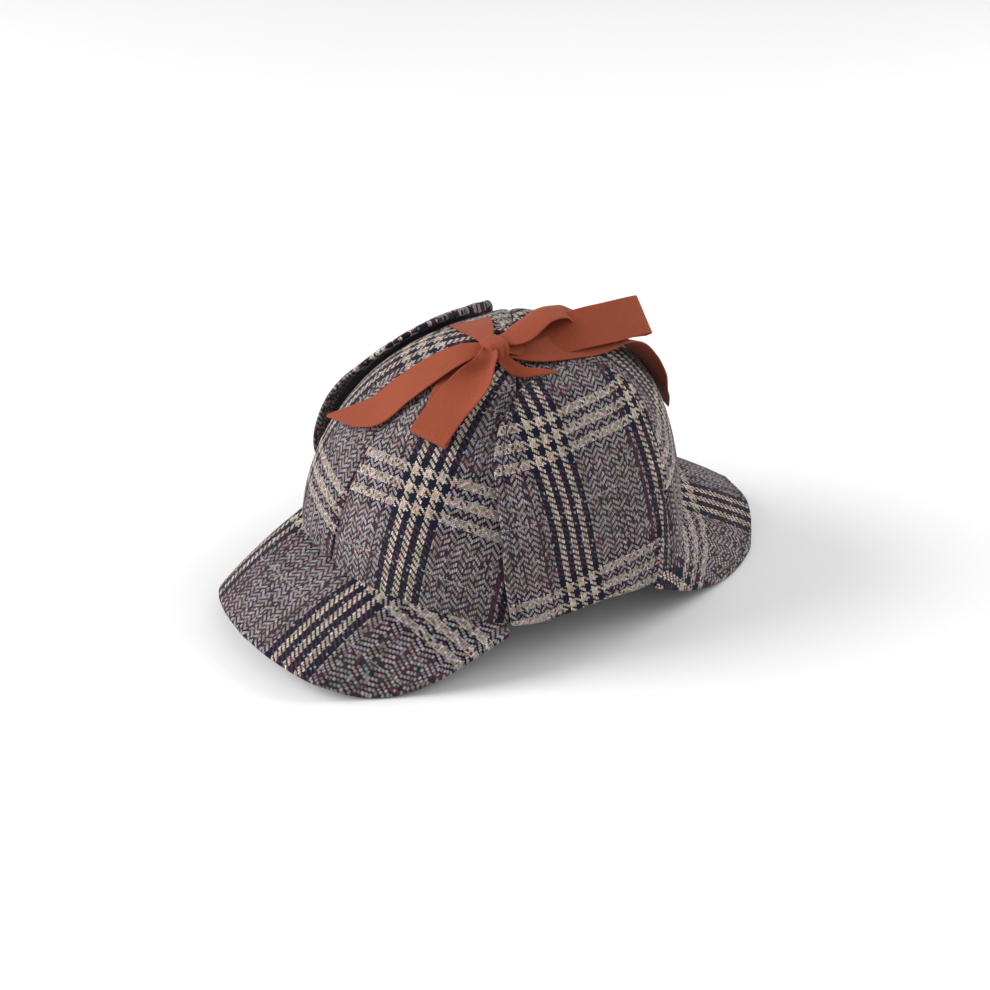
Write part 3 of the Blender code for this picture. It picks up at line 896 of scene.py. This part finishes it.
def flap_surface(rows, side):
    """The surfaces of an ear flap by its height off the crown, on side 1 (left) or -1 (right)."""
    top = rows[-1][0]

    def flap(u, v, lift):
        climb = top * sin(radians(90.0 * v))
        front, rear, front_lift, rear_lift = [smooth_read(rows, climb, n) for n in range(1, 5)]
        angle = side * (front + (rear - front) * u)
        away = (front_lift + (rear_lift - front_lift) * u) * MM + lift
        away += FLAP_SLACK * noise.noise(Vector((u * 4.0, v * 5.0, side)))
        return crown_point(angle, climb, away)

    return flap


# name of the flap, its rows, its side, how much thicker its rolled top edge is, and how far its
# outer cloth is turned in on the back
FLAPS = (
    ("ear_flap_left", FLAP_LEFT, 1.0, 0.0, 0.0038),
    ("ear_flap_right", FLAP_RIGHT, -1.0, 0.0018, 0.0070),
)


class HAT_OT_ear_flaps(bpy.types.Operator):
    """Makes the two ear flaps, folded up over the sides of the crown"""

    bl_idname = "hat.ear_flaps"
    bl_label = "Ear Flaps"

    def execute(self, context):
        for name, rows, side, roll, hem in FLAPS:
            flap = flap_surface(rows, side)
            piece = cloth_piece(
                name, partial(flap, lift=FLAP_WALL), lambda u, v: flap(u, v, -roll * v**4),
                steps_across(48, 0.018, FLAP_ROW_ACROSS), steps_across(60, 0.013, FLAP_ROW_UP),
                cut_pattern(name, turned=side < 0), (plaid_wool(), dark_lining()),
                rounding=0.0015 + roll / 2.0, hem=hem, stitched=FLAP_ROW)
            finish_piece(piece, name)
        return {"FINISHED"}


def row_of_stitches():
    """Geometry nodes that lay one stitch after another along a path."""
    name = "row_of_stitches"
    if made := bpy.data.node_groups.get(name):
        return made
    tree, taken, given = group_tree(name, "GeometryNodeTree", (
        ("Path", "Geometry"),
        ("Spacing", "Float", 0.0034),
        ("Stitch Length", "Float", 0.0026),
        ("Thread Radius", "Float", 0.00022),
        ("Thread", "Material"),
    ), (("Stitches", "Geometry"),))
    path = add_node(tree, "GeometryNodeMeshToCurve", {"Mesh": taken["Path"]})
    places = add_node(tree, "GeometryNodeCurveToPoints", {
        "Curve": path.outputs["Curve"], "Length": taken["Spacing"]}, mode="LENGTH").outputs
    stitch = add_node(tree, "GeometryNodeMeshCylinder", {
        "Vertices": 6, "Radius": taken["Thread Radius"], "Depth": taken["Stitch Length"]})
    # numbers 2 and 3 are the least and the most of a plain random value
    uneven = add_node(tree, "FunctionNodeRandomValue", {2: 0.86, 3: 1.12, "Seed": 4})
    laid = add_node(tree, "GeometryNodeInstanceOnPoints", {
        "Points": places["Points"], "Instance": stitch.outputs["Mesh"],
        "Rotation": places["Rotation"], "Scale": uneven.outputs[1]})
    real = add_node(tree, "GeometryNodeRealizeInstances", {0: laid.outputs["Instances"]})
    finish = add_node(tree, "GeometryNodeSetMaterial", {
        "Geometry": real.outputs[0], "Material": taken["Thread"]})
    feed(tree, given["Stitches"], finish.outputs["Geometry"])
    return tree


def sew(name, points):
    """Lays a row of stitches along points, as a plain mesh."""
    path = bpy.data.meshes.new(name)
    path.from_pydata(points, [(n, n + 1) for n in range(len(points) - 1)], [])
    guide = add_object(name, path)
    sewing = guide.modifiers.new("sewing", "NODES")
    sewing.node_group = row_of_stitches()
    for item in sewing.node_group.interface.items_tree:
        if item.name == "Thread":
            sewing[item.identifier] = dark_thread()
    context = bpy.context.evaluated_depsgraph_get()
    mesh = bpy.data.meshes.new_from_object(guide.evaluated_get(context))
    guide.modifiers.remove(sewing)
    bpy.data.objects.remove(guide, do_unlink=True)
    mesh.name = name
    row = add_object(name, mesh)
    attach(row, "root")


class HAT_OT_stitches(bpy.types.Operator):
    """Sews the rows of stitches inside the edges of the ear flaps and the peaks"""

    bl_idname = "hat.stitches"
    bl_label = "Stitches"

    def execute(self, context):
        raised = FLAP_WALL - 0.5 * FLAP_WALL * STITCH_PULL + 0.0001
        top = 1.0 - FLAP_ROW_UP
        for name, rows, side, _, _ in FLAPS:
            flap = flap_surface(rows, side)

            def inside(u, v):
                wide = (flap(1.0, v, raised) - flap(0.0, v, raised)).length
                share = min(FLAP_ROW / max(wide, FLAP_ROW), 0.5)
                return flap(share + (1.0 - 2.0 * share) * u, v, raised)

            path = [inside(0.0, top * n / 60) for n in range(2, 60)]
            path += [inside(n / 30, top) for n in range(31)]
            path += [inside(1.0, top * (60 - n) / 60) for n in range(1, 59)]
            sew(f"stitches_{name}", path)
        for name, edge, half_angle, swell, side in PEAKS:
            face, back = peak_surfaces(edge, half_angle, swell, side)
            path = []
            for n in range(4, 117):
                u = n / 120
                tall = (face(u, 1.0) - face(u, 0.0)).length
                v = 1.0 - PEAK_ROW / max(tall, 2.0 * PEAK_ROW)
                path.append(face(u, v).lerp(back(u, v), 0.5 * STITCH_PULL - 0.03))
            sew(f"stitches_{name}", path)
        return {"FINISHED"}


# name of the ribbon, its rows, its segments along and across, how it is held, and its width: the
# left tie is folded in two along its length
STRIPS = (
    ("ribbon_tail_front", TAIL_FRONT, 56, 14, "laid", "crown_panel_6", 0.020),
    ("ribbon_loop_front", LOOP_FRONT, 120, 14, "folded", "crown_panel_1", 0.020),
    ("ribbon_loop_rear", LOOP_REAR, 130, 14, "folded", "ribbon_tail_rear", 0.020),
    ("ribbon_tail_rear", TAIL_REAR, 80, 14, "laid", "crown_panel_3", 0.020),
    ("ribbon_tie_right", TIE_RIGHT, 28, 12, "stretched", "ear_flap_right", 0.020),
    ("ribbon_tie_left", TIE_LEFT, 28, 12, "stretched", "ear_flap_left", 0.010),
)


def ribbon_strip(rows):
    """The surfaces of a strip of ribbon through its rows, and its length."""
    lengths = [0.0]
    for before, after in zip(rows, rows[1:]):
        lengths.append(lengths[-1] + (Vector(after[:3]) - Vector(before[:3])).length)
    placed = [(length, *(row + (0.0, 0.0))[:8]) for length, row in zip(lengths, rows)]
    last = len(rows) - 1

    def place(t):
        number = min(int(t), last - 1)
        return lengths[number] + (lengths[number + 1] - lengths[number]) * (t - number)

    def middle(at):
        return Vector([smooth_read(placed, at, column) for column in (1, 2, 3)]) * MM

    def strip(u, v, lift):
        at = place(v * last)
        turned, dips, width, curl_far, curl_near = [
            smooth_read(placed, at, column) for column in range(4, 9)]
        along = (middle(at + 0.2) - middle(at - 0.2)).normalized()
        across = Vector((
            cos(radians(dips)) * sin(radians(turned)),
            -cos(radians(dips)) * cos(radians(turned)),
            -sin(radians(dips)),
        ))
        across = (across - along * across.dot(along)).normalized()
        faces = across.cross(along)
        share = 2.0 * u - 1.0
        curl = radians(curl_near if share > 0 else curl_far) * share
        reach = width * MM / 2.0 * share
        flat = sin(curl) / curl if curl else 1.0
        rise = (1.0 - cos(curl)) / curl if curl else 0.0
        square = faces * cos(curl) - across * sin(curl)
        return middle(at) + across * reach * flat + faces * reach * rise + square * lift

    return strip, lengths[-1] * MM


class HAT_OT_ribbons(bpy.types.Operator):
    """Makes the ribbon's two loops, two tails and two ties"""

    bl_idname = "hat.ribbons"
    bl_label = "Ribbon Bow"

    def execute(self, context):
        for name, rows, along, across, held, rests_on, wide in STRIPS:
            strip, length = ribbon_strip(rows)

            def pattern(grid, across, along):
                along_it = walked([row[len(row) // 2] for row in grid], 0)
                return [[(far, wide * (share - 0.5)) for share in across] for far in along_it]

            piece = cloth_piece(
                name, partial(strip, lift=RIBBON_WALL / 2.0),
                partial(strip, lift=-RIBBON_WALL / 2.0), steps_across(across, 0.03),
                steps_across(along, 0.006), pattern, (rust_ribbon(),), rounding=0.0004)
            finish_piece(piece, name)
        return {"FINISHED"}


class HAT_OT_knot(bpy.types.Operator):
    """Makes the knot, one turn of the ribbon pulled tight round the others"""

    bl_idname = "hat.knot"
    bl_label = "Ribbon Knot"

    def execute(self, context):
        around, along = 72, 24
        corners, flat, faces = [], [], []
        for ring in range(along + 1):
            share = ring / along
            # the turn is flat in its middle and tucks in at its two ends
            end = abs(2.0 * share - 1.0)
            out = 1.0 - 0.16 * end**3 - 0.45 * max(0.0, end - 0.86) / 0.14
            forward = (share - 0.5) * KNOT_LENGTH
            for step in range(around):
                turn = 2.0 * pi * step / around
                fold = 0.05 * sin(5.0 * pi * share + 0.9 * sin(turn + 0.6) + 0.4)
                size = out * (1.0 + fold * (1.0 - end**4)) / 2.0
                square = (abs(sin(turn)) ** 3 + abs(cos(turn)) ** 3) ** (-1.0 / 3.0)
                corners.append(Vector(KNOT_MIDDLE) + Vector((
                    KNOT_ACROSS * size * square * sin(turn), forward,
                    KNOT_DEEP * size * square * cos(turn))))
                flat.append((KNOT_ACROSS * turn / 2.0, share * KNOT_LENGTH))
        pairs = [(step, (step + 1) % around) for step in range(around)]
        for low in range(0, along * around, around):
            high = low + around
            faces += [[low + a, low + b, high + b, high + a] for a, b in pairs]
        # the two ends are closed round a point that lies a little inside
        for low, sign in ((0, -1), (along * around, 1)):
            middle = len(corners)
            corners.append(Vector(KNOT_MIDDLE) + Vector((0.0, sign * 0.40 * KNOT_LENGTH, 0.0)))
            flat.append((0.0, 0.0))
            faces += [[low + b, low + a, middle][::-sign] for a, b in pairs]
        piece = mesh_piece("ribbon_knot", corners, faces, flat, [0] * len(faces),
                           (rust_ribbon(),))
        finish_piece(piece, "ribbon_knot")
        return {"FINISHED"}


class HAT_OT_stage(bpy.types.Operator):
    """Makes the floor, the lights and the camera"""

    bl_idname = "hat.stage"
    bl_label = "Stage"

    def execute(self, context):
        scene = context.scene
        floor = bpy.data.meshes.new("floor")
        floor.from_pydata([(-4, -4, 0), (4, -4, 0), (4, 4, 0), (-4, 4, 0)], [], [(0, 1, 2, 3)])
        made, tree, shader = new_finish("pale_floor", (0.9, 0.9, 0.9, 1.0), 0.8, 0.0)
        shader.inputs["Specular IOR Level"].default_value = 0.0
        place = add_node(tree, "ShaderNodeTexCoord").outputs["Object"]
        grain = add_node(tree, "ShaderNodeTexNoise", {"Vector": place, "Scale": 3.0})
        feed(tree, shader.inputs["Base Color"], choose(
            tree, grain.outputs["Fac"], (0.765, 0.765, 0.77, 1.0), (0.795, 0.795, 0.79, 1.0)))
        floor.materials.append(made)
        add_object("floor", floor)

        world = scene.world or bpy.data.worlds.new("World")
        scene.world = world
        world.use_nodes = True
        sky = world.node_tree.nodes["Background"]
        sky.inputs["Color"].default_value = (1.0, 1.0, 1.0, 1.0)
        sky.inputs["Strength"].default_value = 0.45

        right = Vector((0.536, 0.844, 0.0))
        away = Vector((-0.844, 0.536, 0.0))
        for name, offset, size, energy in (
                ("key_light", -right * 2.0 - away * 0.15 + Vector((0, 0, 1.15)), 1.5, 71.0),
                ("near_light", right * 0.5 - away * 1.3 + Vector((0, 0, 1.1)), 1.2, 6.0),
                ("rear_light", right * 1.3 + away * 0.3 + Vector((0, 0, 1.0)), 1.2, 18.0)):
            lamp = bpy.data.lights.new(name, "AREA")
            lamp.size = size
            lamp.energy = energy
            aim = (Vector((0, 0, 0.05)) - offset).to_track_quat("-Z", "Y")
            add_object(name, lamp).matrix_world = (
                Matrix.Translation(offset) @ aim.to_matrix().to_4x4())

        # the camera stands 30 degrees up and 58 degrees round from the front, and the hat's
        # middle is at (500.7, 522) in a photograph of 990 by 990
        turn, rise, distance, dots_per_mm = radians(57.6), radians(30.2), 1.0275, 2.0
        side, sensor = 990.0, 36.0
        back = Vector((sin(turn) * cos(rise), -cos(turn) * cos(rise), sin(rise)))
        sideways = Vector((cos(turn), sin(turn), 0.0))
        lens = bpy.data.cameras.new("camera")
        lens.sensor_width = sensor
        lens.lens = sensor * distance / MM * dots_per_mm / side
        lens.shift_x = (side / 2.0 - 500.7) / side
        lens.shift_y = (522.0 - side / 2.0) / side
        lens.clip_end = 20.0
        camera = add_object("camera", lens)
        axes = Matrix((sideways, back.cross(sideways), back)).transposed().to_4x4()
        camera.matrix_world = Matrix.Translation(
            Vector((0.0, 0.0, 0.030)) + back * distance) @ axes
        scene.camera = camera
        scene.view_settings.view_transform = "Standard"
        return {"FINISHED"}


class HAT_PT_panel(bpy.types.Panel):
    """Lists the hat's pieces and its settings in the sidebar"""

    bl_label = "Deerstalker Hat"
    bl_idname = "HAT_PT_panel"
    bl_space_type = "VIEW_3D"
    bl_region_type = "UI"
    bl_category = "Hat"

    def draw(self, context):
        column = self.layout.column()
        for name in HatSettings.__annotations__:
            column.prop(context.scene.deerstalker_hat, name)
        for operator in OPERATORS:
            column.operator(operator.bl_idname)


OPERATORS = (HAT_OT_stage, HAT_OT_crown, HAT_OT_peaks, HAT_OT_ear_flaps, HAT_OT_stitches,
             HAT_OT_ribbons, HAT_OT_knot)
CLASSES = (HatSettings,) + OPERATORS + (HAT_PT_panel,)


def register():
    for item in CLASSES:
        bpy.utils.register_class(item)
    bpy.types.Scene.deerstalker_hat = PointerProperty(type=HatSettings)


def unregister():
    del bpy.types.Scene.deerstalker_hat
    for item in reversed(CLASSES):
        bpy.utils.unregister_class(item)


def main():
    register()
    bpy.ops.hat.stage()
    bpy.ops.hat.crown()
    bpy.ops.hat.peaks()
    bpy.ops.hat.ear_flaps()
    bpy.ops.hat.stitches()
    bpy.ops.hat.ribbons()
    bpy.ops.hat.knot()


if __name__ == "__main__":
    main()
